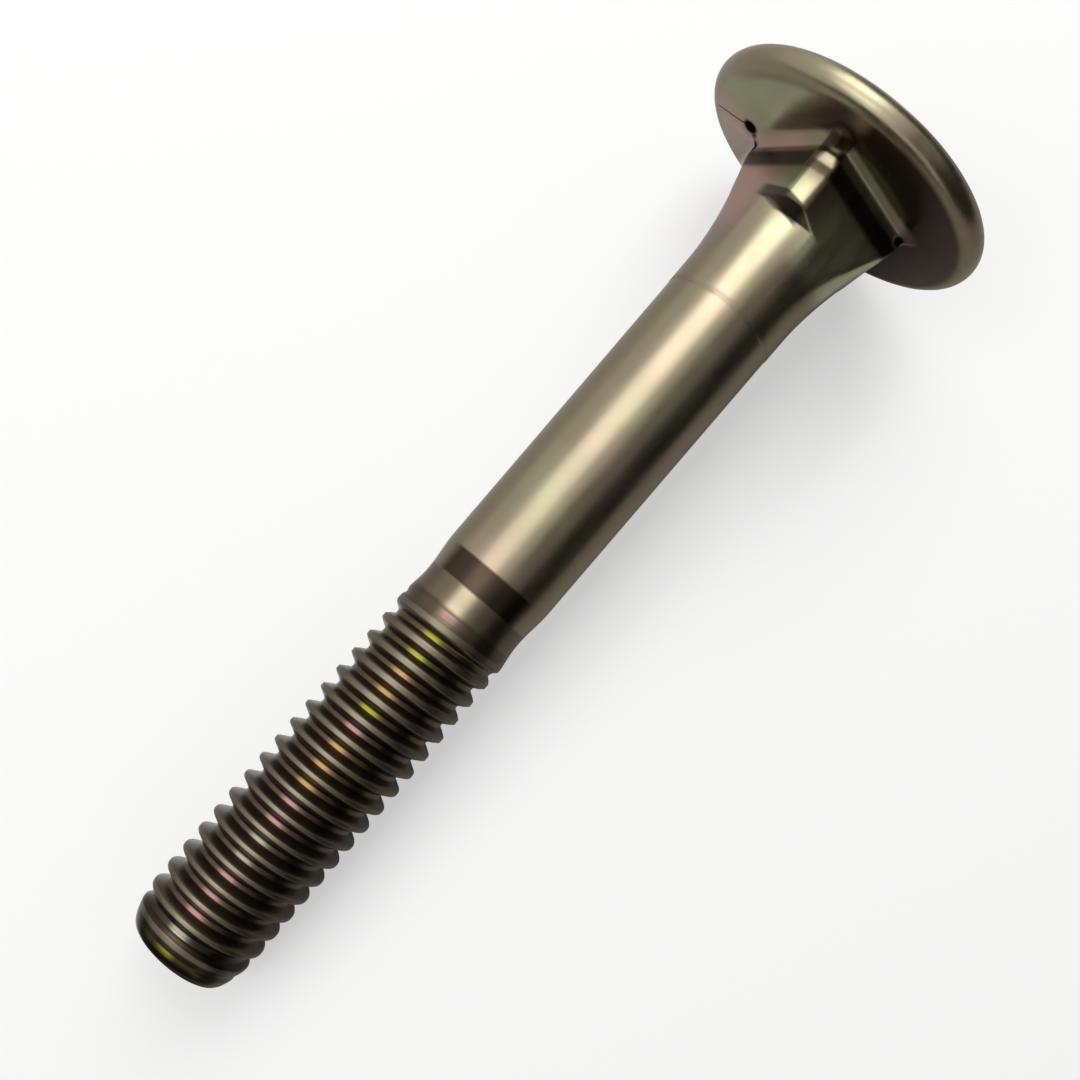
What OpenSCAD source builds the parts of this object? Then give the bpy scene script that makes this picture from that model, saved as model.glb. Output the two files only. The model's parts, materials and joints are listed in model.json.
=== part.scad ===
// Carriage bolt with a low domed head, a forged square neck and a rolled right-hand thread.
// It lies on its side, as it comes to rest: on the rim of its head and on its thread.
// In the bolt's own axes z runs up the middle from the thread to the head,
// and z = 0 is the underside of the head where the neck leaves it.

/* [Shank] */
// Length from the underside of the head to the end of the thread
bolt_length = 61; // [50:0.5:80]
// Diameter of the plain shank
shank_d = 7.54; // [7.3:0.02:7.7]
// Diameter of the blank that the thread is rolled on, where the shank ends
blank_d = 7.18; // [7:0.02:7.3]
// Length of the taper between the two
blank_taper = 2.7; // [1.5:0.1:3.5]
// Distance from the underside of the head to the die line round the shank
die_line_z = 10.65; // [10.2:0.05:16]
// Height of the step that the two dies leave at that line
die_step = 0.03; // [0.01:0.01:0.08]

/* [Thread] */
// Major diameter of the thread
major_d = 7.92; // [7.8:0.02:8.2]
// Pitch of the thread, 18 turns to the inch
pitch = 1.411; // [1.2:0.001:1.6]
// Length of the thread with its run-out
thread_length = 27.6; // [18:0.1:34]
// Length of the run-out, where the grooves fade into the shank
runout_length = 3.4; // [2:0.1:5]
// Diameter of the flat end
end_d = 5.1; // [4:0.1:6]
// Diameter where the steep part of the point ends
shoulder_d = 6.9; // [6.6:0.1:7.4]
// Length of the steep part of the point
shoulder_length = 0.6; // [0.3:0.1:1]
// Length of the whole point
point_length = 2.7; // [2:0.1:3.5]
// Angle at which the crest stands at the thread's first full turn
thread_start_angle = -90; // [-180:5:180]

/* [Square neck] */
// Width across the flats of the square
neck_width = 7.7; // [7.6:0.02:8]
// Depth of the two rounded corners of the square
neck_depth = 4.1; // [3.5:0.1:5]
// Diameter across the two rounded corners
corner_d = 9.6; // [9:0.1:10.2]
// Length of the slope at the foot of the two rounded corners
corner_slope = 0.55; // [0.3:0.05:1]
// Radius of the hollow in which the other two corners run out, where the dies part
flare_r = 21.7; // [16:0.1:24]
// Distance from the underside of the head to the end of that hollow
flare_length = 9.7; // [8:0.1:10]
// Radius of the fillet under the head
neck_fillet = 0.9; // [0.4:0.05:1.2]
// Turn of the neck, from the top of the bolt as it lies to its nearest rounded corner
neck_turn = -14.5; // [-45:0.5:45]

/* [Head] */
// Diameter of the head
head_d = 19.4; // [17:0.1:22]
// Height of the head
head_height = 4.1; // [3.4:0.1:5.5]
// Rise of the underside from the neck to the rim, in degrees
underside_slope = 3; // [1:0.1:8]
// Radius of the rounded rim
rim_r = 0.85; // [0.3:0.05:1.1]

/* [Hidden] */
$fn = 96;

// Thread form of 60 degrees
crest_flat = pitch / 8;
root_flat = pitch / 4;
thread_depth = (pitch - crest_flat - root_flat) / 2 / tan(30);
major_r = major_d / 2;
root_r = major_r - thread_depth;
// An odd count lays a facet of the crest, and not a corner, on the surface below
thread_columns = 31;
// The thread's core is this much smaller than the blank that it runs out on
core_gap = 0.015;

shank_r = shank_d / 2;
blank_r = blank_d / 2;
head_r = head_d / 2;
rim_centre_r = head_r - rim_r;
// Reach of the fillet under the head, from the bolt's axis to its edge on each side
neck_foot_r = neck_width / 2 + neck_fillet;
tip_z = -bolt_length;
runout_end_z = tip_z + thread_length;
runout_start_z = runout_end_z - runout_length;

// Rest on the rim and on the thread's crest beside the point
rest_z = tip_z + point_length;
rim_z = underside_z(rim_centre_r) + rim_r / cos(underside_slope);
lie_angle = atan((head_r - major_r) / (rim_z - rest_z));
dome_rise = head_height - rim_z;
dome_r = (rim_centre_r ^ 2 + dome_rise ^ 2 - rim_r ^ 2) / (2 * (dome_rise - rim_r));
rest_lift = -(rim_z * sin(lie_angle) - rim_centre_r * cos(lie_angle) - rim_r);
low_x = tip_z * cos(lie_angle) - end_d / 2 * sin(lie_angle);
high_x = (head_height - dome_r) * cos(lie_angle) + dome_r;

// The neck's pieces run this far into the head, so that they join it
root_in_head = 0.5;

// Height of the underside at a radius: a shallow cone
function underside_z(r) = (r - neck_foot_r) * tan(underside_slope);

// Points of an arc about a centre, from one angle to another
function arc(centre, r, from, to, steps) =
    [for (k = [0 : steps]) let (a = from + (to - from) * k / steps) centre + r * [cos(a), sin(a)]];

// Share of the thread's depth that is left at a height: one below the run-out, none past it
function depth_share(z) =
    z <= runout_start_z ? 1 : z >= runout_end_z ? 0 : (runout_end_z - z) / runout_length;

// Rows of the helical surface in one pitch: place along the axis in pitches, and 1 on a crest
thread_rows = [
    [-crest_flat / pitch / 2, 1],
    [crest_flat / pitch / 2, 1],
    [0.5 - root_flat / pitch / 2, 0],
    [0.5 + root_flat / pitch / 2, 0]
];

// The threaded end as one helical surface, which runs past the point and into the shank.
// Each column is an angle, each row follows the helix, and the last column is the first
// one pitch further on.
module thread_body() {
    crest_z = rest_z + pitch * (-thread_start_angle) / 360;
    below = ceil((crest_z - tip_z) / pitch) + 1;
    above = ceil((runout_end_z - crest_z) / pitch) + 1;
    rows = (below + above) * 4;
    core_r = blank_r - core_gap;
    function row_z(i, j) =
        crest_z + pitch * (floor(j / 4) - below + thread_rows[j % 4][0] + i / thread_columns);
    function row_r(z, on_crest) =
        core_r + ((on_crest == 1 ? major_r : root_r) - core_r) * depth_share(z);
    points = [
        for (j = [0 : rows + 3], i = [0 : thread_columns - 1])
            let (z = row_z(i, j), r = row_r(z, thread_rows[j % 4][1]), a = 360 * i / thread_columns)
            [r * cos(a), r * sin(a), z]
    ];
    low_centre = len(points);
    high_centre = low_centre + 1;
    centres = [
        [0, 0, row_z(thread_columns / 2, 0)],
        [0, 0, row_z(thread_columns / 2, rows - 1)]
    ];
    function at(i, j) = i < thread_columns ? j * thread_columns + i : (j + 4) * thread_columns;
    walls = [
        for (j = [0 : rows - 2], i = [0 : thread_columns - 1])
            each [
                [at(i, j), at(i, j + 1), at(i + 1, j + 1)],
                [at(i, j), at(i + 1, j + 1), at(i + 1, j)]
            ]
    ];
    low_fan = [for (i = [0 : thread_columns - 1]) [low_centre, at(i, 0), at(i + 1, 0)]];
    low_step = [for (j = [0 : 3]) [low_centre, at(0, j + 1), at(0, j)]];
    high_fan = [
        for (i = [0 : thread_columns - 1]) [high_centre, at(i + 1, rows - 1), at(i, rows - 1)]
    ];
    high_step = [for (j = [0 : 3]) [high_centre, at(0, rows - 1 + j), at(0, rows + j)]];
    polyhedron(concat(points, centres), concat(walls, low_fan, low_step, high_fan, high_step));
}

// What the point leaves of the thread: a steep edge, then a slight taper up to the crest
module point_envelope() {
    clear_r = major_r + 0.5;
    taper_end_z = tip_z + point_length * (clear_r - shoulder_d / 2) / (major_r - shoulder_d / 2);
    rotate_extrude()
        polygon([
            [0, tip_z],
            [end_d / 2, tip_z],
            [shoulder_d / 2, tip_z + shoulder_length],
            [clear_r, taper_end_z],
            [clear_r, runout_end_z + 4 * pitch],
            [0, runout_end_z + 4 * pitch]
        ]);
}

module thread() {
    intersection() {
        thread_body();
        point_envelope();
    }
}

// The shank widens from the blank of the thread, and is a hair thicker above the die line
module shank() {
    translate([0, 0, runout_end_z])
        cylinder(r1 = blank_r, r2 = shank_r, h = blank_taper);
    translate([0, 0, runout_end_z + blank_taper])
        cylinder(r = shank_r, h = -runout_end_z - blank_taper);
    translate([0, 0, -die_line_z])
        cylinder(r = shank_r + die_step, h = die_line_z);
}

// A square bar as wide as the neck, down to a depth below the head
module neck_bar(depth) {
    translate([-neck_width / 2, -neck_width / 2, -depth])
        cube([neck_width, neck_width, depth + root_in_head]);
}

// The bar's two rounded corners, which end in a short slope
module rounded_corners() {
    intersection() {
        neck_bar(neck_depth + corner_slope);
        union() {
            translate([0, 0, -neck_depth])
                cylinder(d = corner_d, h = neck_depth + root_in_head);
            translate([0, 0, -neck_depth - corner_slope])
                cylinder(d1 = shank_d, d2 = corner_d, h = corner_slope);
        }
        rotate([0, 0, 45])
            translate([-corner_d, -neck_width / 2, -neck_depth - corner_slope])
                cube([2 * corner_d, neck_width, neck_depth + corner_slope + root_in_head]);
    }
}

// The other two corners, where the dies part: a long hollow that runs out into the shank
module flared_corners() {
    reach = neck_width;
    intersection() {
        neck_bar(flare_length);
        rotate_extrude()
            difference() {
                translate([0, -flare_length])
                    square([reach, flare_length + root_in_head]);
                translate([shank_r + flare_r, -flare_length])
                    circle(r = flare_r, $fn = 240);
            }
        rotate([0, 0, 45])
            translate([-neck_width / 2, -reach, -flare_length])
                cube([neck_width, 2 * reach, flare_length + root_in_head]);
    }
}

// A fillet along the four flats, mitred at the corners
module neck_foot() {
    difference() {
        translate([-neck_foot_r, -neck_foot_r, -neck_fillet])
            cube([2 * neck_foot_r, 2 * neck_foot_r, neck_fillet + root_in_head]);
        for (turn = [0 : 90 : 270])
            rotate([0, 0, turn])
                translate([neck_foot_r, -2 * neck_foot_r, -neck_fillet])
                    rotate([-90, 0, 0])
                        cylinder(r = neck_fillet, h = 4 * neck_foot_r);
    }
}

module head() {
    tilt = atan(rim_centre_r / (dome_r - dome_rise));
    edge = arc([rim_centre_r, rim_z], rim_r, underside_slope - 90, 90 - tilt, 10);
    dome = arc([0, head_height - dome_r], dome_r, 90 - tilt, 90, 14);
    rotate_extrude()
        polygon(concat([[0, 0], [neck_foot_r, 0]], edge, dome));
}

module bolt() {
    thread();
    shank();
    // The bar's corners stand at 45 degrees, so this brings a rounded one to the turn
    rotate([0, 0, neck_turn - 45]) {
        rounded_corners();
        flared_corners();
        neck_foot();
    }
    head();
}

// The bolt on its side, with the middle of its outline over the origin
module carriage_bolt() {
    color([0.47, 0.43, 0.33])
        translate([-(low_x + high_x) / 2, 0, rest_lift])
            rotate([0, 90 - lie_angle, 0])
                rotate([0, 0, 180])
                    bolt();
}

carriage_bolt();
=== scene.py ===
"""Carriage bolt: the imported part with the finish, the fine thread and the soft edges of the real one."""
import json
import math

import bmesh
import bpy
from bpy.props import FloatProperty, FloatVectorProperty, PointerProperty
from mathutils import Matrix, Vector


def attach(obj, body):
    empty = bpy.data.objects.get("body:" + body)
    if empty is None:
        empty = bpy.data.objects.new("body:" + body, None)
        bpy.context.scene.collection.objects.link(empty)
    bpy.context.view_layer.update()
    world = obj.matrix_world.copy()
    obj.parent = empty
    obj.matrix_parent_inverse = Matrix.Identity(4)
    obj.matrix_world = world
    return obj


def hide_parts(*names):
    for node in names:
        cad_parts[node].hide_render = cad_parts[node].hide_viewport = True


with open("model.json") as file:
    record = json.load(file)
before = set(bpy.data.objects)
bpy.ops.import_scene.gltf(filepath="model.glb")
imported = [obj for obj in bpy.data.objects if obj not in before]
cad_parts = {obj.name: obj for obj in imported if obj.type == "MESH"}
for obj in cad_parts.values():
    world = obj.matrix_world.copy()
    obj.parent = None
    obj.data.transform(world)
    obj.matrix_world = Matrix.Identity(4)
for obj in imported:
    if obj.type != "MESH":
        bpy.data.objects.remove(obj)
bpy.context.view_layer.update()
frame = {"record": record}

bl_info = {
    "name": "Carriage Bolt",
    "version": (1, 0, 0),
    "blender": (4, 5, 0),
    "location": "3D View > Sidebar > Bolt",
    "description": "Models a plated carriage bolt and a plain stage to look at it on",
    "category": "Object",
}

NODE = "carriage_bolt"
MM = 0.001


# Colours and small sums

def linear(hex_colour):
    """An sRGB hex colour as linear RGB."""
    raw = [int(hex_colour[i:i + 2], 16) / 255 for i in (1, 3, 5)]
    return tuple(c / 12.92 if c <= 0.04045 else ((c + 0.055) / 1.055) ** 2.4 for c in raw)


def ramp(x, low, high):
    """Rises smoothly from 0 to 1 as x goes from low to high."""
    u = min(1.0, max(0.0, (x - low) / (high - low)))
    return u * u * (3 - 2 * u)


def soft_min(a, b, r):
    """The smaller of two lengths, with the corner between them rounded over about r."""
    h = max(0.0, 1 - abs(a - b) / r)
    return min(a, b) - h * h * r / 4


def soft_max(a, b, r):
    return -soft_min(-a, -b, r)


class BoltSizes(bpy.types.PropertyGroup):
    """Sizes of the bolt. Its own axis is z, and z = 0 is the underside of the head at the neck."""
    length: FloatProperty(
        name="Length", description="From the underside of the head to the end of the thread, in mm",
        default=61.0, min=50.0, max=80.0)
    shank_d: FloatProperty(
        name="Shank", description="Diameter of the plain shank, in mm", default=7.54, min=7.3, max=7.7)
    blank_d: FloatProperty(
        name="Blank", description="Diameter of the blank under the thread, in mm", default=7.18)
    blank_taper: FloatProperty(
        name="Blank taper", description="Length of the taper from it to the shank, in mm", default=2.7)
    die_line: FloatProperty(
        name="Die line", description="Distance of the die line from the head, in mm", default=10.65)
    die_step: FloatProperty(
        name="Die step", description="Height of the step at the die line, in mm", default=0.03)
    major_d: FloatProperty(
        name="Thread", description="Major diameter of the thread, in mm", default=7.92, min=7.8, max=8.2)
    pitch: FloatProperty(
        name="Pitch", description="Pitch of the thread, in mm", default=1.411, min=1.2, max=1.6)
    thread_length: FloatProperty(
        name="Thread length", description="Length of the thread with its run-out, in mm", default=27.6)
    runout_length: FloatProperty(
        name="Run-out", description="Length over which the grooves fade, in mm", default=3.8)
    crest_half: FloatProperty(
        name="Crest", description="Half the width of the thread's crest, in mm", default=0.11)
    root_half: FloatProperty(
        name="Root", description="Half the width of the thread's root, in mm", default=0.17)
    end_d: FloatProperty(
        name="End", description="Diameter of the flat end, in mm", default=5.1)
    point_length: FloatProperty(
        name="Point", description="Length of the point, in mm", default=2.7)
    neck_width: FloatProperty(
        name="Square", description="Width across the flats of the neck, in mm", default=7.7)
    neck_depth: FloatProperty(
        name="Square depth", description="Depth of the rounded corners, in mm", default=4.1)
    corner_d: FloatProperty(
        name="Corners", description="Diameter across the rounded corners, in mm", default=9.6)
    corner_slope: FloatProperty(
        name="Corner slope", description="Length of the slope at the rounded corners' foot, in mm",
        default=0.55)
    flare_r: FloatProperty(
        name="Flare radius", description="Radius of the hollow of the other corners, in mm", default=21.7)
    flare_length: FloatProperty(
        name="Flare length", description="Length of that hollow below the head, in mm", default=9.7)
    neck_fillet: FloatProperty(
        name="Fillet", description="Radius of the fillet under the head, in mm", default=0.9)
    neck_turn: FloatProperty(
        name="Neck turn", description="Turn of the neck about the bolt's axis, in degrees", default=-14.5)
    head_d: FloatProperty(
        name="Head", description="Diameter of the head, in mm", default=19.44)
    head_height: FloatProperty(
        name="Head height", description="Height of the head, in mm", default=4.1)
    underside_slope: FloatProperty(
        name="Underside slope", description="Rise of the underside towards the rim, in degrees",
        default=3.0)
    rim_r: FloatProperty(
        name="Rim radius", description="Radius of the rounded rim, in mm", default=0.87)
    head_lean: FloatProperty(
        name="Head lean", description="Slope by which the head leans to the thread on its upper side",
        subtype="FACTOR", default=0.067, min=0.0, max=1.0)


class BoltFinish(bpy.types.PropertyGroup):
    """Colours of the plating, and of the painted shade, painted highlights and painted light laid over it."""
    olive: FloatVectorProperty(
        name="Olive bronze", description="Main colour of the plating", subtype="COLOR",
        default=linear("#8a816b"), min=0.0, max=1.0)
    pink: FloatVectorProperty(
        name="Pink tint", description="Warm tint of the film", subtype="COLOR",
        default=linear("#ae8b84"), min=0.0, max=1.0)
    green: FloatVectorProperty(
        name="Green tint", description="Cool tint of the film", subtype="COLOR",
        default=linear("#8f9a74"), min=0.0, max=1.0)
    gold: FloatVectorProperty(
        name="Gold tint", description="Yellow tint of the film", subtype="COLOR",
        default=linear("#6c6a2a"), min=0.0, max=1.0)
    # The roots' tints: a real tint of the film, laid faintly all round the root and far stronger where the
    # key's glint falls, which is a painted highlight.
    amber: FloatVectorProperty(
        name="Amber", description="Orange flash of the thread's roots", subtype="COLOR",
        default=linear("#786242"), min=0.0, max=1.0)
    rose: FloatVectorProperty(
        name="Rose", description="Pink flash of the thread's roots", subtype="COLOR",
        default=linear("#755b57"), min=0.0, max=1.0)
    cream: FloatVectorProperty(
        name="Cream", description="Pale flash of the thread's roots", subtype="COLOR",
        default=linear("#6e6b5c"), min=0.0, max=1.0)
    crest: FloatVectorProperty(
        name="Crest", description="Dull grey of the thread's crests", subtype="COLOR",
        default=linear("#6a6354"), min=0.0, max=1.0)
    # Painted shade: this dark brown stands for the shade and dark mirroring of the thread's grooves, and also
    # darkens the run-out beside its glint.
    flank: FloatVectorProperty(
        name="Flank", description="Dark brown film in the thread's grooves", subtype="COLOR",
        default=linear("#4a3f33"), min=0.0, max=1.0)
    # Partly a real pale green tint and partly painted light: made pale to brighten a flat that mirrors dark
    # surroundings.
    pale: FloatVectorProperty(
        name="Pale green", description="Thin film on the flat right of the near corner", subtype="COLOR",
        default=linear("#bcc19e"), min=0.0, max=1.0)
    # Painted shade: the dark that the narrowing shank mirrors, laid into its colour.
    band: FloatVectorProperty(
        name="Band", description="Dark band where the shank narrows", subtype="COLOR",
        default=linear("#3d342a"), min=0.0, max=1.0)
    # Painted shade round the foot of the square neck, which mirrors the dark underside of the head.
    neck_foot_shade: FloatVectorProperty(
        name="Deep brown", description="Film at the foot of the square neck", subtype="COLOR",
        default=linear("#30261f"), min=0.0, max=1.0)
    # Painted shade that darkens the blunt point, which faces the lamps.
    point: FloatVectorProperty(
        name="Point", description="Film on the blunt point", subtype="COLOR",
        default=linear("#1a1410"), min=0.0, max=1.0)
    # Painted shade: black that stands for the shade in the notches and the crease, which are not in the
    # shape.
    notch_crease_black: FloatVectorProperty(
        name="Crevice", description="Black of the notches and the crease where the dies part",
        subtype="COLOR", default=linear("#0e0b09"), min=0.0, max=1.0)
    # A real maroon tint, laid heavily over one side of the underside and in a line inside the rim as painted
    # shade.
    maroon: FloatVectorProperty(
        name="Maroon", description="Heavy dark film under the head", subtype="COLOR",
        default=linear("#533c3a"), min=0.0, max=1.0)


# The bolt's place in the frame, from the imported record

def placing():
    """Turns the bolt's own millimetres into the frame's metres."""
    seat = next(m for m in frame["record"]["mounts"] if m["name"] == "head_underside")
    along = -Vector(seat["axis"]).normalized()
    across = Vector((0.0, -1.0, 0.0))
    up = across.cross(along)
    turn = Matrix((up, across, along)).transposed().to_4x4()
    return Matrix.Translation(Vector(seat["pos_m"])) @ turn @ Matrix.Scale(MM, 4)


# Shape of the bolt

# Steps round one turn of the thread, and round the shank, the neck and the head
THREAD_STEPS = 96
RING_STEPS = 256
# Gap between the thread's last row and the shank's first, in mm, which a ring of faces closes
SEAM_GAP = 0.08
# The thread's crest is full below the first height, and is down to just over the shank by the
# second, in mm
CREST_FADE = (-49.0, -36.0)
# Depth of the fine groove beside the die line's step, in mm
LINE_GROOVE = 0.035


def underside_z(s, r):
    """Height of the head's underside, a shallow cone."""
    return (r - s.neck_width / 2 - s.neck_fillet) * math.tan(math.radians(s.underside_slope))


def groove_profile(s):
    """One pitch of the rolled thread from crest to crest: places along the axis and depths."""
    middle = s.pitch / 2
    flank = math.tan(math.radians(60))
    depth = (middle - s.crest_half - s.root_half) * flank
    corner, low = s.crest_half, middle - s.root_half
    places = [0.0, corner - 0.04, corner, corner + 0.04, (corner + low) / 2, low - 0.05, low - 0.015]
    places += [low + 0.02, low + 0.07, middle]
    half = []
    for z in places:
        d = soft_min(soft_max(0.0, (z - corner) * flank, 0.09), depth, 0.1)
        dish = max(0.0, 1 - ((middle - z) / s.root_half) ** 2)
        half.append((z, d + 0.025 * dish))
    back = [(s.pitch - z, d) for z, d in reversed(half[:-1])]
    return half + back


def point_r(s, z):
    """Radius that the blunt point leaves of the thread."""
    u = (z + s.length) / s.point_length
    end = s.end_d / 2
    if u <= 0:
        return end
    return end + (s.major_d / 2 + 0.02 - end) * u ** 0.28


def thread_surface(s, z, depth_here):
    """Radius of the thread at a height, for a groove depth of the full form."""
    blank = s.blank_d / 2
    end_z = s.thread_length - s.length
    fade = ramp(z, end_z, end_z - s.runout_length)
    fade *= 0.3 + 0.7 * ramp(z, -s.length, 4.6 - s.length)
    full = s.major_d / 2 + 0.02
    crest = full - (full - s.shank_d / 2 - 0.03) * ramp(z, *CREST_FADE)
    crest = blank + (crest - blank) * ramp(z, end_z, end_z - 2.2)
    r = soft_min(full - depth_here * fade, crest, 0.08)
    return soft_min(r, point_r(s, z), 0.12) if z < s.point_length * 1.6 - s.length else r


def make_thread(bm, s):
    """The rolled thread: one pitch of its profile, spun up the helix, then cut at both ends."""
    profile = groove_profile(s)
    turns = math.ceil(s.thread_length / s.pitch) + 3
    crest_at_zero = s.point_length - s.length + s.pitch / 4
    start = crest_at_zero - s.pitch * (math.ceil(s.point_length / s.pitch) + 2)
    radius = s.major_d / 2
    line = [bm.verts.new((radius - d, 0.0, start + z)) for z, d in profile]
    edges = [bm.edges.new(pair) for pair in zip(line, line[1:])]
    bmesh.ops.spin(
        bm, geom=line + edges, cent=(0, 0, 0), axis=(0, 0, 1), angle=math.tau, steps=THREAD_STEPS,
        dvec=(0, 0, s.pitch / THREAD_STEPS), use_merge=False, use_duplicate=False)
    turn = bm.verts[:] + bm.edges[:] + bm.faces[:]
    for k in range(1, turns):
        copy = bmesh.ops.duplicate(bm, geom=turn)["geom"]
        moved = [g for g in copy if isinstance(g, bmesh.types.BMVert)]
        bmesh.ops.translate(bm, vec=(0, 0, s.pitch * k), verts=moved)
    bmesh.ops.remove_doubles(bm, verts=bm.verts[:], dist=0.002)
    for v in bm.verts:
        was = math.hypot(v.co.x, v.co.y)
        now = thread_surface(s, v.co.z, radius - was)
        v.co.x *= now / was
        v.co.y *= now / was
    top = s.thread_length - s.length + 0.05
    low = 0.22 - s.length
    for height, outer in ((top, True), (low, False)):
        bmesh.ops.bisect_plane(
            bm, geom=bm.verts[:] + bm.edges[:] + bm.faces[:], dist=1e-5, plane_co=(0, 0, height),
            plane_no=(0, 0, 1), clear_outer=outer, clear_inner=not outer)
    stray = [v for v in bm.verts if not v.link_faces]
    bmesh.ops.delete(bm, geom=stray, context="VERTS")
    return top, low


def loop_at(bm, z):
    """Open edges at a height."""
    return [e for e in bm.edges if e.is_boundary and all(abs(v.co.z - z) < 1e-3 for v in e.verts)]


def close_point(bm, s, low):
    """Rounds the end of the point in and closes it with the sheared face."""
    loop = loop_at(bm, low)
    for v in set(v for e in loop for v in e.verts):
        v.co.z = low
    start_r = sum(math.hypot(v.co.x, v.co.y) for e in loop for v in e.verts) / len(loop) / 2
    end = s.end_d / 2
    steps = [(0.12, 0.66), (0.05, 0.36), (0.0, 0.0)]
    rings = [(end + (start_r - end) * share, z - s.length) for z, share in steps]
    rings += [(end * 0.93, 0.0 - s.length), (end * 0.8, 0.03 - s.length), (end * 0.4, 0.08 - s.length)]
    here = start_r
    for radius, z in rings:
        grown = bmesh.ops.extrude_edge_only(bm, edges=loop)["geom"]
        loop = [g for g in grown if isinstance(g, bmesh.types.BMEdge)]
        for v in [g for g in grown if isinstance(g, bmesh.types.BMVert)]:
            now = math.hypot(v.co.x, v.co.y)
            even = ramp(z, low, -s.length)
            goal = now * radius / here * (1 - even) + radius * even
            v.co.x *= goal / now
            v.co.y *= goal / now
            v.co.z = z
        here = radius
    grown = bmesh.ops.extrude_edge_only(bm, edges=loop)["geom"]
    last = [g for g in grown if isinstance(g, bmesh.types.BMVert)]
    bmesh.ops.pointmerge(bm, verts=last, merge_co=(0, 0, 0.09 - s.length))


def square_r(s, angle, reach):
    """Radius of a square of that half width, seen at an angle from one of its corners."""
    off = (math.degrees(angle) % 90) - 45
    return reach / math.cos(math.radians(off))


def neck_r(s, angle, z):
    """Radius of the neck at an angle from its near rounded corner.

    That corner's slope starts later on its left, and a small second slope ends it at the head."""
    shank = s.shank_d / 2 + (s.die_step if z > -s.die_line else 0.0)
    flat = square_r(s, angle, s.neck_width / 2)
    land = s.corner_d / 2
    land += 0.2 * ramp(z, -1.45, -0.85)
    side = (math.degrees(angle) + 180) % 360 - 180
    top = -s.neck_depth + (0.5 * ramp(-side, 8, 40) if abs(side) < 90 else 0.0)
    slope = soft_min(1.0, max(0.0, (z - top + s.corner_slope) / s.corner_slope), 0.25)
    rounded = shank + (land - shank) * max(0.0, slope)
    rise = max(0.0, z + s.flare_length)
    flared = s.shank_d / 2 + s.flare_r - math.sqrt(s.flare_r ** 2 - rise * rise)
    share = math.sin(angle) ** 2
    limit = rounded * (1 - share) + flared * share
    r = soft_min(flat, limit, 0.16)
    return soft_max(r, shank, 0.05)


def steps_between(low, high, count):
    return [low + (high - low) * k / count for k in range(1, count + 1)]


def ring_rows(s, top):
    """Rows from the run-out to the crown: a kind and two numbers each, radius and height."""
    shank = s.shank_d / 2
    blank = s.blank_d / 2
    line = -s.die_line
    taper_end = s.thread_length - s.length + s.blank_taper
    rows = [("shank", blank, top + SEAM_GAP)]
    for z in steps_between(top + SEAM_GAP, taper_end, 12):
        rows.append(("shank", blank + (shank - blank) * ramp(z, top + 0.2, taper_end), z))
    rows += [("shank", shank, z) for z in steps_between(taper_end, line - 0.16, 8)]
    rows += [("shank", shank, line - 0.07)]
    rows += [("shank", shank - LINE_GROOVE, line - 0.02)]
    rows += [("shank", shank - LINE_GROOVE, line + 0.02)]
    rows += [("shank", shank + s.die_step, line + 0.08)]
    neck = steps_between(line + 0.08, -5.2, 20)
    neck += steps_between(-5.2, -3.7, 22)
    neck += steps_between(-3.7, -s.neck_fillet, 18)
    rows += [("neck", 0.0, z) for z in neck]
    for k in range(1, 11):
        a = math.radians(90) * k / 10
        rows += [("fillet", s.neck_fillet * (1 - math.cos(a)), s.neck_fillet * (math.sin(a) - 1))]
    rim_centre = s.head_d / 2 - s.rim_r
    rows += [("cone", w, 0.0) for w in steps_between(0.0, 1.0, 16)]
    slope = math.radians(s.underside_slope)
    rim_z = underside_z(s, rim_centre) + s.rim_r / math.cos(slope)
    rise = s.head_height - rim_z
    dome_r = (rim_centre ** 2 + rise ** 2 - s.rim_r ** 2) / (2 * (rise - s.rim_r))
    tilt = math.atan(rim_centre / (dome_r - rise))
    for k in range(1, 15):
        a = slope - math.pi / 2 + (math.pi - tilt - slope) * k / 14
        rows.append(("round", rim_centre + s.rim_r * math.cos(a), rim_z + s.rim_r * math.sin(a)))
    for k in range(1, 25):
        a = tilt * (1 - k / 24)
        rows.append(("round", dome_r * math.sin(a), s.head_height - dome_r + dome_r * math.cos(a)))
    return rows


def press(s, kind, one, two, angle):
    """Radius and height of a row at an angle from the neck's near rounded corner.

    The head leans, so its upper side comes nearer to the thread."""
    upward = math.cos(angle + math.radians(s.neck_turn))
    if kind == "neck":
        return neck_r(s, angle, two), two
    if kind == "fillet":
        start = neck_r(s, angle, -s.neck_fillet)
        square = square_r(s, angle, s.neck_width / 2 + one)
        square = soft_min(square, (s.neck_width / 2 + one) * math.sqrt(2) - 0.12, 0.3)
        w = one / s.neck_fillet
        return start + (square - start) * ramp(w, 0.0, 0.35) if w < 0.35 else square, two
    if kind == "cone":
        reach = s.neck_width / 2 + s.neck_fillet
        square = square_r(s, angle, reach)
        square = soft_min(square, reach * math.sqrt(2) - 0.12, 0.3)
        edge = s.head_d / 2 - s.rim_r
        r = square + (edge - square) * one
        lean = edge * (1.49 * one - 0.49 * one * one)
        return r, underside_z(s, r) - underside_z(s, square) * (1 - one) - s.head_lean * lean * upward
    return one, two - s.head_lean * one * upward


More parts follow.
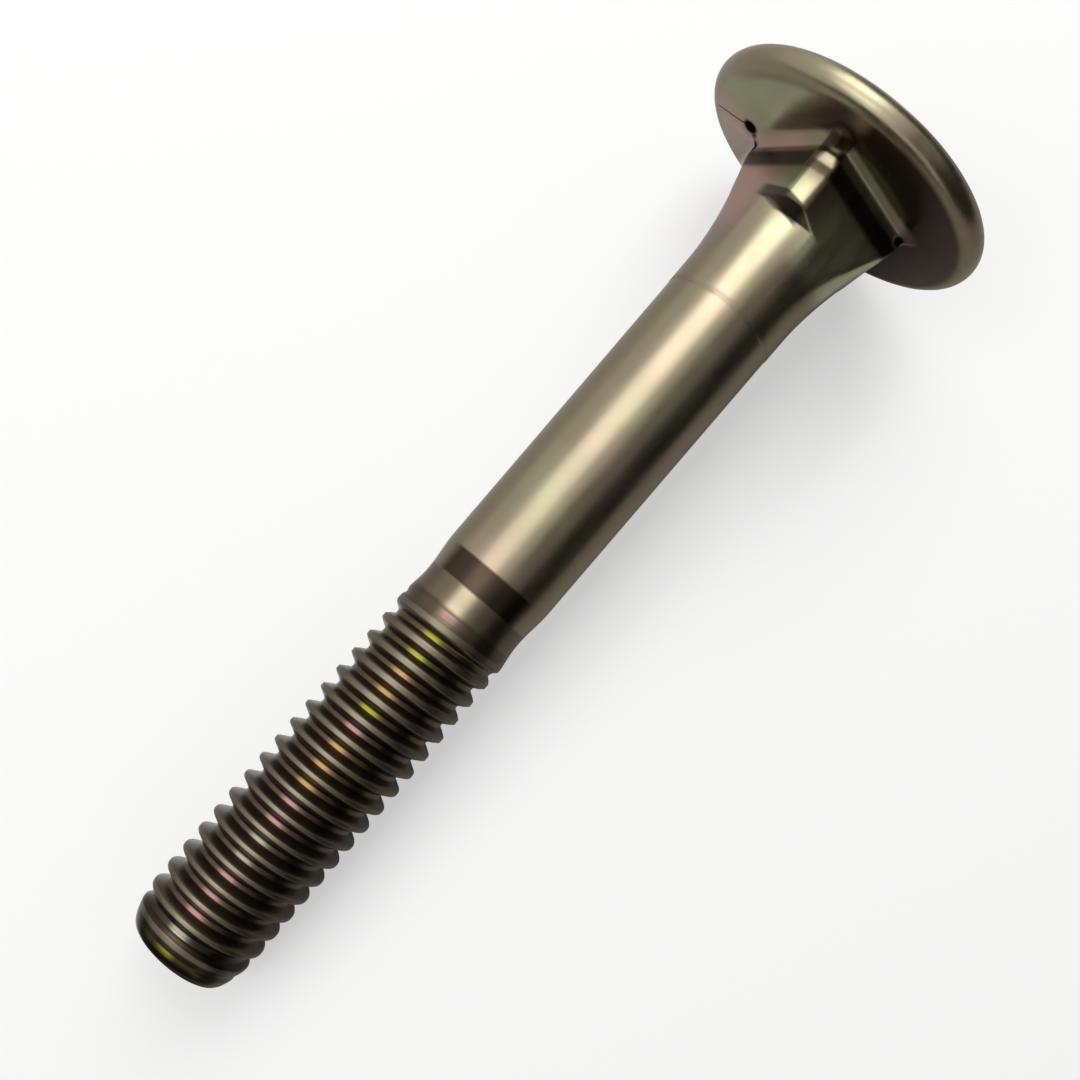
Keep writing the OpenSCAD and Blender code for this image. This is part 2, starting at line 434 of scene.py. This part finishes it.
def make_body(bm, s, top):
    """Shank, neck and head: a straight line spun into a tube, whose rows are pressed to shape."""
    rows = ring_rows(s, top)
    other = bmesh.new()
    turn = math.radians(s.neck_turn)
    line = [other.verts.new((math.cos(turn), math.sin(turn), float(k))) for k in range(len(rows))]
    edges = [other.edges.new(pair) for pair in zip(line, line[1:])]
    bmesh.ops.spin(
        other, geom=line + edges, cent=(0, 0, 0), axis=(0, 0, 1), angle=math.tau, steps=RING_STEPS,
        use_merge=True, use_duplicate=False)
    for v in other.verts:
        kind, one, two = rows[round(v.co.z)]
        angle = math.atan2(v.co.y, v.co.x)
        if kind == "shank":
            r, z = one, two
        else:
            r, z = press(s, kind, one, two, angle - turn)
        v.co = (r * math.cos(angle), r * math.sin(angle), z)
    mesh = bpy.data.meshes.new("pressed")
    other.to_mesh(mesh)
    other.free()
    bm.from_mesh(mesh)
    bpy.data.meshes.remove(mesh)


def finished(bm, name, material):
    """A mesh object of the bolt in the frame, closed and smooth, that rides and replaces."""
    bmesh.ops.remove_doubles(bm, verts=bm.verts[:], dist=0.0005)
    bmesh.ops.recalc_face_normals(bm, faces=bm.faces[:])
    bmesh.ops.transform(bm, matrix=placing(), verts=bm.verts[:])
    for f in bm.faces:
        f.smooth = True
    open_edges = [e for e in bm.edges if not e.is_manifold]
    if open_edges:
        raise RuntimeError(f"{name} has {len(open_edges)} open edges")
    mesh = bpy.data.meshes.new(name)
    bm.to_mesh(mesh)
    bm.free()
    mesh.materials.append(material)
    piece = bpy.data.objects.new(name, mesh)
    bpy.context.scene.collection.objects.link(piece)
    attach(piece, "root")
    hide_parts(NODE)


# Finish

# Bands in the bolt's own millimetres: low end, high end and softness of both ends, where FAR
# stands for an end that nothing reaches
FAR = 99.0
LEFT_SIDE = (3.0, FAR, 1.0)
# The near corner's land and either side of it, where painted shade is laid at the neck's foot; then either
# side of the glint at the run-out, where painted shade is laid too.
NEAR_LAND = (0.55, 2.05, 0.1)
BESIDE_LAND = ((-FAR, 0.55, 0.1), (2.05, FAR, 0.1))
BESIDE_GLINT = ((-FAR, 0.0, 0.3), (1.25, FAR, 0.3))
NEAR_NECK = (-6.4, -1.8, 0.8)
UNDERSIDE_STARTS = {"along": (-0.75, FAR, 0.25), "out": (5.3, FAR, 0.3)}
UNDERSIDE_ENDS = {"along": (-FAR, 1.075, 0.125), "out": (-FAR, 8.9, 0.2)}
# Band to the upper left of the axis where the key's glint falls on the roots: their tint is painted far
# stronger there, as a painted highlight.
PAINTED_GLINT_BAND = (0.0, 1.25, 0.32)
THREAD_BAND = (-60.7, -34.3, 0.15)
CRESTS = {"crest": (-FAR, 0.1764, 0.0494), "along": THREAD_BAND}
ROOTS = {"crest": (0.508, FAR, 0.0423), "along": (-60.4, -34.3, 0.15)}

# Stretches of the thread whose roots flash in another colour than cream
AMBER_TURNS = ((-48.1, -44.1), (-41.4, -38.4))
GOLD_TURNS = ((-61.5, -59.2), (-42.8, -41.2), (-38.6, -35.6))
ROSE_TURNS = ((-57.9, -53.7), (-51.0, -48.2), (-44.1, -42.7), (-35.6, -34.5))

# Notches where the dies part, which are not in the shape but painted black as their shade, in mm: each one's
# place along, left and up, and its radius, then the softness of their edges
NOTCHES = (
    ((0.02, 6.2, -0.8), 0.55),
    ((-0.25, 5.8, -1.05), 0.3),
    ((-0.55, 5.37, -1.3), 0.36),
    ((-0.5, -4.95, 1.3), 0.5),
)
NOTCH_SOFT = 0.18


def node(tree, kind, settings=None, links=None):
    """Adds a shader node, sets its sockets and settings, and links nodes or sockets into it."""
    made = tree.nodes.new(kind)
    for key, value in (settings or {}).items():
        if isinstance(key, int) or key in made.inputs:
            made.inputs[key].default_value = value
        else:
            setattr(made, key, value)
    for key, source in (links or {}).items():
        start = source.outputs[0] if isinstance(source, bpy.types.Node) else source
        tree.links.new(start, made.inputs[key])
    return made


def inside(tree, places, share=None, **bands):
    """1 where each of some places lies in its band, times a share if there is one already."""
    for name, (low, high, soft) in bands.items():
        half = (high - low) / 2
        off = node(tree, "ShaderNodeMath", {"operation": "SUBTRACT", 1: (low + half) * MM},
                   {0: places[name]})
        away = node(tree, "ShaderNodeMath", {"operation": "ABSOLUTE"}, {0: off})
        band = node(tree, "ShaderNodeMapRange",
                    {"interpolation_type": "SMOOTHSTEP", "From Min": (half + soft) * MM,
                     "From Max": (half - soft) * MM}, {"Value": away})
        if share is None:
            share = band
        else:
            share = node(tree, "ShaderNodeMath", {"operation": "MULTIPLY"}, {0: share, 1: band})
    return share


def strongest(tree, shares):
    """The largest of some shares at each place."""
    most = shares[0]
    for share in shares[1:]:
        most = node(tree, "ShaderNodeMath", {"operation": "MAXIMUM"}, {0: most, 1: share})
    return most


def lay(tree, under, over, amount, share):
    """Lays one colour over another, as strong as the amount where the share is 1."""
    settings = {"data_type": "RGBA"}
    links = {0: node(tree, "ShaderNodeMath", {"operation": "MULTIPLY", 1: amount}, {0: share})}
    for key, colour in ((6, under), (7, over)):
        if isinstance(colour, bpy.types.Node):
            links[key] = colour.outputs[2]
        else:
            settings[key] = (*colour, 1.0)
    return node(tree, "ShaderNodeMix", settings, links)


def bolt_places(tree):
    """Object coordinates turned to the bolt's own, and the places that bands are measured by.

    They are along the bolt, to its left, up, and out from its axis, then two slanted ones for the
    neck's slope and the underside's crease, and the distance from the thread's helical crest."""
    m = placing()
    up, across, along = (m.col[k].to_3d().normalized() for k in range(3))
    turn = Matrix((along, -across, up))
    seat = turn @ m.to_translation()
    place = node(tree, "ShaderNodeTexCoord").outputs["Object"]
    own = node(tree, "ShaderNodeMapping", {"Location": tuple(-seat), "Rotation": tuple(turn.to_euler())},
               {"Vector": place})
    axes = node(tree, "ShaderNodeSeparateXYZ", None, {0: own}).outputs
    places = {"along": axes[0], "left": axes[1], "up": axes[2]}
    flat = node(tree, "ShaderNodeVectorMath", {"operation": "MULTIPLY", 1: (0.0, 1.0, 1.0)}, {0: own})
    radius = node(tree, "ShaderNodeVectorMath", {"operation": "LENGTH"}, {0: flat})
    places["out"] = radius.outputs["Value"]
    places["slope"] = node(tree, "ShaderNodeMath", {"operation": "MULTIPLY_ADD", 1: -0.25},
                           {0: places["left"], 2: places["along"]})
    places["crease"] = node(tree, "ShaderNodeMath", {"operation": "MULTIPLY_ADD", 1: 0.5},
                            {0: places["left"], 2: places["up"]})

    s = bpy.context.scene.bolt_sizes
    pitch = s.pitch * MM
    first_crest = (s.point_length - s.length) * MM + pitch / 4
    around = node(tree, "ShaderNodeMath", {"operation": "ARCTAN2"}, {0: places["left"], 1: places["up"]})
    turned = node(tree, "ShaderNodeMath", {"operation": "MULTIPLY_ADD", 1: pitch / math.tau},
                  {0: around, 2: places["along"]})
    from_first = node(tree, "ShaderNodeMath", {"operation": "SUBTRACT", 1: first_crest}, {0: turned})
    places["crest"] = node(tree, "ShaderNodeMath", {"operation": "PINGPONG", 1: pitch / 2},
                           {0: from_first})
    return own, places


def even_film(tree, finish, own, places):
    """Olive film with faint pink and green tints, which are weaker on the plain shank."""
    cloud = node(tree, "ShaderNodeTexNoise", {"Scale": 1 / (4.0 * MM), "Detail": 3.0, "Roughness": 0.55},
                 {"Vector": own})
    colour = finish.olive
    for tint, low, high, most in ((finish.pink, 0.5, 0.72, 0.35), (finish.green, 0.5, 0.3, 0.45)):
        share = node(tree, "ShaderNodeMapRange",
                     {"interpolation_type": "SMOOTHSTEP", "From Min": low, "From Max": high},
                     {"Value": cloud})
        colour = lay(tree, colour, tint, most, share)
    return lay(tree, colour, finish.olive, 0.55, inside(tree, places, along=(-34.0, -7.0, 0.8)))


def shank_film(tree, finish, places, colour):
    """Painted shade: a dark band where the shank narrows, and dark brown on either side of the glint below
    it.
    """
    band = inside(tree, places, along=(-32.75, -31.0, 0.1), left=(-2.4, 3.0, 0.4))
    colour = lay(tree, colour, finish.band, 1.0, band)
    for side in BESIDE_GLINT:
        beside = inside(tree, places, along=(-34.4, -32.75, 0.1), left=side)
        colour = lay(tree, colour, finish.flank, 0.6, beside)
    return colour


def head_film(tree, finish, places, colour):
    """Pink on the flat left of the neck's near corner, and pale green on the flat right of it, made pale
    partly as painted light. Under the head, green and pink on the left, and maroon laid heavily on the right
    and in a line inside the rim, both as painted shade."""
    left_flat = inside(tree, places, along=NEAR_NECK, left=LEFT_SIDE)
    colour = lay(tree, colour, finish.pink, 0.85, left_flat)
    # Partly painted light: the pale green brightens this flat.
    right_flat = inside(tree, places, along=NEAR_NECK, left=(-FAR, -0.7, 0.5), up=(1.05, FAR, 0.35))
    colour = lay(tree, colour, finish.pale, 0.85, right_flat)
    under = inside(tree, places, **UNDERSIDE_STARTS)
    under = inside(tree, places, under, **UNDERSIDE_ENDS)
    under_left = inside(tree, places, under, left=LEFT_SIDE)
    colour = lay(tree, colour, finish.green, 0.5, under_left)
    outer_left = inside(tree, places, under_left, up=(-FAR, -0.25, 1.25))
    colour = lay(tree, colour, finish.pink, 0.7, outer_left)
    # Painted shade: maroon over the right of the underside, and a painted shadow line inside the rim on its
    # left.
    shaded_under_right = inside(tree, places, under, left=(-FAR, 3.4, 1.2))
    painted_rim_shadow = inside(tree, places, along=(-FAR, 1.3, 0.1), out=(8.35, 8.95, 0.25), left=LEFT_SIDE,
                      up=(3.5, FAR, 1.5))
    faint_rim_shadow = node(tree, "ShaderNodeMath", {"operation": "MULTIPLY", 1: 0.6}, {0: painted_rim_shadow})
    return lay(tree, colour, finish.maroon, 0.85, strongest(tree, (shaded_under_right, faint_rim_shadow)))


def neck_film(tree, finish, places, colour):
    """Painted shade in dark brown round the foot of the square neck, with a gap on its near corner's land,
    and on the slope at that corner's foot and at the land's start and end; and pink in the fillet on its
    left."""
    foot = inside(tree, places, along=(-2.0, -0.85, 0.22), out=(-FAR, 5.6, 0.1))
    beside = [inside(tree, places, foot, left=side) for side in BESIDE_LAND]
    slope = inside(tree, places, slope=(-4.95, -4.15, 0.1), left=(0.2, 3.1, 0.3))
    land_start = inside(tree, places, along=(-2.05, -1.45, 0.12), left=NEAR_LAND)
    faint_start = node(tree, "ShaderNodeMath", {"operation": "MULTIPLY", 1: 0.6}, {0: land_start})
    land_end = inside(tree, places, along=(-0.9, 0.1, 0.06), left=NEAR_LAND, out=(-FAR, 5.85, 0.15))
    # Painted shade laid round the neck's foot.
    colour = lay(tree, colour, finish.neck_foot_shade, 0.9,
                 strongest(tree, (*beside, slope, faint_start, land_end)))
    fillet = inside(tree, places, along=(-0.85, -0.1, 0.06), left=LEFT_SIDE, out=(-FAR, 6.0, 0.2))
    return lay(tree, colour, finish.pink, 0.5, fillet)


def thread_film(tree, finish, places, colour, crests):
    """Flanks painted dark brown as the grooves' shade, the point painted darker still as painted shade, roots
    with a tint that is painted far stronger along the glint as a painted highlight, and dull crests.
    """
    # Painted shade: the whole thread is first laid over with the grooves' dark brown.
    colour = lay(tree, colour, finish.flank, 0.92, inside(tree, places, along=THREAD_BAND))
    # Painted shade on the blunt point.
    colour = lay(tree, colour, finish.point, 0.7, inside(tree, places, along=(-62.0, -58.2, 0.3)))
    flash = finish.cream
    for tint, turns in ((finish.amber, AMBER_TURNS), (finish.gold, GOLD_TURNS), (finish.rose, ROSE_TURNS)):
        for low, high in turns:
            flash = lay(tree, flash, tint, 1.0, inside(tree, places, along=(low, high, 0.3)))
    # A painted highlight: the roots' tint at a sixth of its strength all round, and full in the glint's band.
    painted_glint_share = node(tree, "ShaderNodeMath", {"operation": "MULTIPLY_ADD", 1: 0.84, 2: 0.16},
                     {0: inside(tree, places, left=PAINTED_GLINT_BAND)})
    colour = lay(tree, colour, flash, 1.0, inside(tree, places, painted_glint_share, **ROOTS))
    return lay(tree, colour, finish.crest, 0.95, crests)


def notch_crease_shade_mask(tree, own, places):
    """1 in the notches at the square's long corners and in the crease of the underside, where their shade is
    painted black.
    """
    dark = [inside(tree, places, crease=(2.25, 2.38, 0.03), left=(6.2, 8.7, 0.1), along=(-1.0, 1.2, 0.1))]
    for place, radius in NOTCHES:
        away = node(tree, "ShaderNodeVectorMath",
                    {"operation": "DISTANCE", 1: tuple(c * MM for c in place)}, {0: own}).outputs["Value"]
        dark.append(node(tree, "ShaderNodeMapRange",
                         {"interpolation_type": "SMOOTHSTEP", "From Min": (radius + NOTCH_SOFT) * MM,
                          "From Max": (radius - NOTCH_SOFT) * MM}, {"Value": away}))
    return strongest(tree, dark)


def plating_material(finish):
    """Zinc plate with a yellow passivating film on cold-forged steel.

    The eye sees a satin olive bronze on the shank. The thread's crests are dull and grey, its grooves painted
    dark brown as their shade, and its roots flash pink, white and yellow-green in a painted highlight over
    their tint. Under the head it is greenish with pink on one side, and maroon laid heavily on the other,
    darkened there as painted shade."""
    material = bpy.data.materials.new("yellow passivated zinc on forged steel")
    material.use_nodes = True
    tree = material.node_tree
    tree.nodes.clear()
    own, places = bolt_places(tree)
    crests = inside(tree, places, **CRESTS)
    painted_notch_crease_shade = notch_crease_shade_mask(tree, own, places)

    colour = even_film(tree, finish, own, places)
    colour = shank_film(tree, finish, places, colour)
    colour = head_film(tree, finish, places, colour)
    colour = neck_film(tree, finish, places, colour)
    # Painted shade: the notches and the crease painted black.
    colour = lay(tree, colour, finish.notch_crease_black, 1.0, painted_notch_crease_shade)
    colour = thread_film(tree, finish, places, colour, crests)

    # Satin from the forging, drawn out along the bolt, and duller on the crests
    stretched = node(tree, "ShaderNodeMapping", {"Scale": (0.22, 1.0, 1.0)}, {"Vector": own})
    drawn = node(tree, "ShaderNodeTexNoise", {"Scale": 1 / (0.7 * MM), "Detail": 3.0}, {"Vector": stretched})
    satin = node(tree, "ShaderNodeMapRange",
                 {"interpolation_type": "SMOOTHSTEP", "From Min": 0.3, "From Max": 0.7, "To Min": 0.28,
                  "To Max": 0.34}, {"Value": drawn})
    rough = node(tree, "ShaderNodeMix", {3: 0.38}, {0: crests, 2: satin})
    grain = node(tree, "ShaderNodeTexNoise", {"Scale": 1 / (0.25 * MM), "Detail": 2.0}, {"Vector": own})
    bump = node(tree, "ShaderNodeBump", {"Strength": 0.05, "Distance": 0.01 * MM}, {"Height": grain})

    # The notches and the crease are painted black as their shade, and are made neither metal nor shiny there,
    # so that they stay black
    metal = node(tree, "ShaderNodeMapRange",
                 {"interpolation_type": "SMOOTHSTEP", "To Min": 1.0, "To Max": 0.0}, {"Value": painted_notch_crease_shade})
    shine = node(tree, "ShaderNodeMath", {"operation": "MULTIPLY", 1: 0.5}, {0: metal})
    shader = node(tree, "ShaderNodeBsdfPrincipled", None,
                  {"Base Color": colour.outputs[2], "Metallic": metal, "Specular IOR Level": shine,
                   "Roughness": rough, "Normal": bump})
    node(tree, "ShaderNodeOutputMaterial", None, {"Surface": shader})
    return material


class OBJECT_OT_bolt(bpy.types.Operator):
    """Model the plated carriage bolt and lay it in its place"""
    bl_idname = "object.bolt_make"
    bl_label = "Make Bolt"
    bl_options = {"REGISTER", "UNDO"}

    def execute(self, context):
        sizes = context.scene.bolt_sizes
        bm = bmesh.new()
        top, low = make_thread(bm, sizes)
        close_point(bm, sizes, low)
        make_body(bm, sizes, top)
        seam = loop_at(bm, top) + loop_at(bm, top + SEAM_GAP)
        bmesh.ops.bridge_loops(bm, edges=seam)
        finished(bm, "plated_bolt", plating_material(context.scene.bolt_finish))
        return {"FINISHED"}


# Stage

# The camera as fitted to the photograph: the place on the bolt's axis that it was fitted about and
# how far along and back it stands from there, in mm, and its tilt in radians. Then come the
# photograph's side, focal length and centre of view in pixels, and the bolt's direction in it.
AXIS_MIDDLE_Z = -27.57
CAMERA_ALONG = 6.79
CAMERA_BACK = 70.04
CAMERA_TILT = 0.009
PHOTO_SIDE = 1080
PHOTO_FOCUS = 1155
PRINCIPAL = (461.2, 620.0)
ALONG_IN_PHOTO = (0.65069568, 0.75933862)

# The floor's side, and the hair by which it lies below the bolt, in metres
FLOOR_SIDE = 6.0
FLOOR_DROP = 0.00002

# Cards that only the metal mirrors: name, two sizes and middle in metres, what they face, colour
CARDS = (
    ("side_card", 0.5, 0.24, (0.0, -0.24, 0.12), (0, 1, 0), "#2b2826"),
    ("over_card", 0.6, 0.2, (0.0, -0.17, 0.29), (0, 0.5, -0.86), "#e6e4e0"),
    ("floor_card", 0.36, 0.24, (0.0, -0.123, 0.0004), (0, 0, 1), "#a8a6a2"),
    ("left_card", 0.36, 0.24, (0.0, 0.126, 0.0004), (0, 0, 1), "#c2c1be"),
    ("tip_card", 0.16, 0.24, (-0.118, 0.0, 0.0006), (0, 0, 1), "#555350"),
    ("end_card", 0.1, 0.24, (-0.2, 0.0, 0.05), (1, 0, 0), "#6a6864"),
    ("head_card", 0.24, 0.4, (0.26, -0.1, 0.1), (-1, 0, 0), "#5a5652"),
)

# Strip lights in a row over the bolt: how far they stand over to one side in degrees, their
# distance and width in metres, then each one's name, two angles along X and brightness
STRIP_SIDE_ANGLE = 25.0
STRIP_HEIGHT = 0.25
STRIP_WIDTH = 0.158
STRIPS = (
    ("key", 16, 62, 3.6),
    ("key_edge", 4, 16, 2.2),
    ("middle", -8, 4, 1.1),
    ("fill", -35, -8, 2.3),
    ("fill_low", -62, -35, 1.1),
)


def photo_axes():
    """Directions of the photograph in the frame: along the bolt, across it, and away."""
    m = placing()
    up, across, along = (m.col[k].to_3d().normalized() for k in range(3))
    c, t = math.cos(CAMERA_TILT), math.sin(CAMERA_TILT)
    return c * along - t * up, across, -t * along - c * up


def make_camera():
    along, across, away = photo_axes()
    spot = placing() @ Vector((0, 0, AXIS_MIDDLE_Z)) - along * CAMERA_ALONG * MM - away * CAMERA_BACK * MM
    c, s = ALONG_IN_PHOTO
    right = c * along + s * across
    up = s * along - c * across
    data = bpy.data.cameras.new("camera")
    data.sensor_width = 36.0
    data.lens = 36.0 * PHOTO_FOCUS / PHOTO_SIDE
    data.shift_x = 0.5 - PRINCIPAL[0] / PHOTO_SIDE
    data.shift_y = PRINCIPAL[1] / PHOTO_SIDE - 0.5
    data.clip_start = 0.001
    data.clip_end = 20.0
    camera = bpy.data.objects.new("camera", data)
    camera.matrix_world = Matrix.Translation(spot) @ Matrix((right, up, -away)).transposed().to_4x4()
    bpy.context.scene.collection.objects.link(camera)
    bpy.context.scene.camera = camera


def facing_turn(facing):
    """Turns a flat piece to face a direction, with its first side along the frame's X."""
    z = Vector(facing).normalized()
    x = Vector((0.0, 0.0, -1.0)) if abs(z.x) > 0.5 else Vector((1.0, 0.0, 0.0))
    return Matrix((x, z.cross(x), z)).transposed()


def add_plane(name, size_x, size_y, centre, facing, material):
    """A flat stage piece that faces a direction square to the frame's X."""
    bm = bmesh.new()
    bmesh.ops.create_grid(bm, x_segments=1, y_segments=1, size=0.5)
    bmesh.ops.scale(bm, vec=(size_x, size_y, 1.0), verts=bm.verts[:])
    place = Matrix.Translation(Vector(centre)) @ facing_turn(facing).to_4x4()
    bmesh.ops.transform(bm, matrix=place, verts=bm.verts[:])
    mesh = bpy.data.meshes.new(name)
    bm.to_mesh(mesh)
    bm.free()
    mesh.materials.append(material)
    plane = bpy.data.objects.new(name, mesh)
    bpy.context.scene.collection.objects.link(plane)
    return plane


def background_seen(tree):
    """1 for the rays that show the white background: those of the camera, of metal and of glass."""
    path = node(tree, "ShaderNodeLightPath").outputs
    direct = node(tree, "ShaderNodeMath", {"operation": "MAXIMUM"},
                  {0: path["Is Camera Ray"], 1: path["Is Glossy Ray"]})
    return node(tree, "ShaderNodeMath", {"operation": "MAXIMUM"},
                {0: direct, 1: path["Is Transmission Ray"]})


def floor_material():
    """Matt white paper sweep that keeps the bolt's soft shadow and turns white far from the lamps."""
    material = bpy.data.materials.new("matt white paper")
    material.use_nodes = True
    tree = material.node_tree
    tree.nodes.clear()
    paper = node(tree, "ShaderNodeBsdfDiffuse", {"Color": (*linear("#b0b0af"), 1.0)})
    place = node(tree, "ShaderNodeTexCoord").outputs["Object"]
    away = node(tree, "ShaderNodeVectorMath", {"operation": "LENGTH"}, {0: place})
    level = node(tree, "ShaderNodeMapRange",
                 {"interpolation_type": "SMOOTHSTEP", "From Min": 0.1, "From Max": 0.7, "To Min": 0.49,
                  "To Max": 0.87}, {"Value": away.outputs["Value"]})
    glow = node(tree, "ShaderNodeEmission", {"Color": (1, 1, 1, 1)}, {"Strength": level})
    both = node(tree, "ShaderNodeAddShader", None, {0: paper, 1: glow})
    pick = node(tree, "ShaderNodeMixShader", None, {0: background_seen(tree), 1: paper, 2: both})
    node(tree, "ShaderNodeOutputMaterial", None, {"Surface": pick})
    return material


def card_material(name, hex_colour):
    material = bpy.data.materials.new(name)
    material.use_nodes = True
    tree = material.node_tree
    tree.nodes.clear()
    card = node(tree, "ShaderNodeBsdfDiffuse", {"Color": (*linear(hex_colour), 1.0)})
    node(tree, "ShaderNodeOutputMaterial", None, {"Surface": card})
    return material


def add_card(name, size_x, size_y, centre, facing, hex_colour):
    """A card that only the metal's reflections see, so the floor stays evenly lit."""
    card = add_plane(name, size_x, size_y, centre, facing, card_material(name + " felt", hex_colour))
    card.visible_camera = False
    card.visible_diffuse = False
    card.visible_shadow = False


def add_strip(name, low_angle, high_angle, radiance):
    """A strip light along the bolt, set over to the frame's Y, between two angles along X."""
    low_x = STRIP_HEIGHT * math.tan(math.radians(low_angle))
    high_x = STRIP_HEIGHT * math.tan(math.radians(high_angle))
    data = bpy.data.lights.new(name, "AREA")
    data.shape = "RECTANGLE"
    data.size = high_x - low_x
    data.size_y = STRIP_WIDTH
    data.energy = radiance * 4 * data.size * STRIP_WIDTH
    side = math.radians(STRIP_SIDE_ANGLE)
    out = Vector((0.0, math.sin(side), math.cos(side)))
    lamp = bpy.data.objects.new(name, data)
    lamp.location = out * STRIP_HEIGHT + Vector(((low_x + high_x) / 2, 0.0, 0.0))
    lamp.rotation_mode = "QUATERNION"
    lamp.rotation_quaternion = facing_turn(out).to_quaternion()
    bpy.context.scene.collection.objects.link(lamp)


def make_world():
    world = bpy.data.worlds.new("white studio")
    world.use_nodes = True
    tree = world.node_tree
    tree.nodes.clear()
    level = node(tree, "ShaderNodeMapRange", {"To Min": 0.3, "To Max": 1.0}, {"Value": background_seen(tree)})
    sky = node(tree, "ShaderNodeBackground", {"Color": (1, 1, 1, 1)}, {"Strength": level})
    node(tree, "ShaderNodeOutputWorld", None, {"Surface": sky})
    bpy.context.scene.world = world


class OBJECT_OT_bolt_stage(bpy.types.Operator):
    """Lay out the floor, the cards, the lamps and the camera"""
    bl_idname = "object.bolt_stage"
    bl_label = "Make Stage"
    bl_options = {"REGISTER", "UNDO"}

    def execute(self, context):
        add_plane("floor", FLOOR_SIDE, FLOOR_SIDE, (0, 0, -FLOOR_DROP), (0, 0, 1), floor_material())
        for card in CARDS:
            add_card(*card)
        for strip in STRIPS:
            add_strip(*strip)
        make_world()
        make_camera()
        context.scene.view_settings.view_transform = "Standard"
        return {"FINISHED"}


class VIEW3D_PT_bolt(bpy.types.Panel):
    """Sizes, colours and buttons of the bolt"""
    bl_idname = "VIEW3D_PT_bolt"
    bl_label = "Carriage Bolt"
    bl_space_type = "VIEW_3D"
    bl_region_type = "UI"
    bl_category = "Bolt"

    def draw(self, context):
        layout = self.layout
        for group in (context.scene.bolt_sizes, context.scene.bolt_finish):
            column = layout.column(align=True)
            for name in group.__annotations__:
                column.prop(group, name)
        layout.operator("object.bolt_make")
        layout.operator("object.bolt_stage")


CLASSES = (BoltSizes, BoltFinish, OBJECT_OT_bolt, OBJECT_OT_bolt_stage, VIEW3D_PT_bolt)


def register():
    for cls in CLASSES:
        bpy.utils.register_class(cls)
    bpy.types.Scene.bolt_sizes = PointerProperty(type=BoltSizes)
    bpy.types.Scene.bolt_finish = PointerProperty(type=BoltFinish)


def unregister():
    del bpy.types.Scene.bolt_finish
    del bpy.types.Scene.bolt_sizes
    for cls in reversed(CLASSES):
        bpy.utils.unregister_class(cls)


def main():
    register()
    bpy.ops.object.bolt_make()
    bpy.ops.object.bolt_stage()


if __name__ == "__main__":
    main()
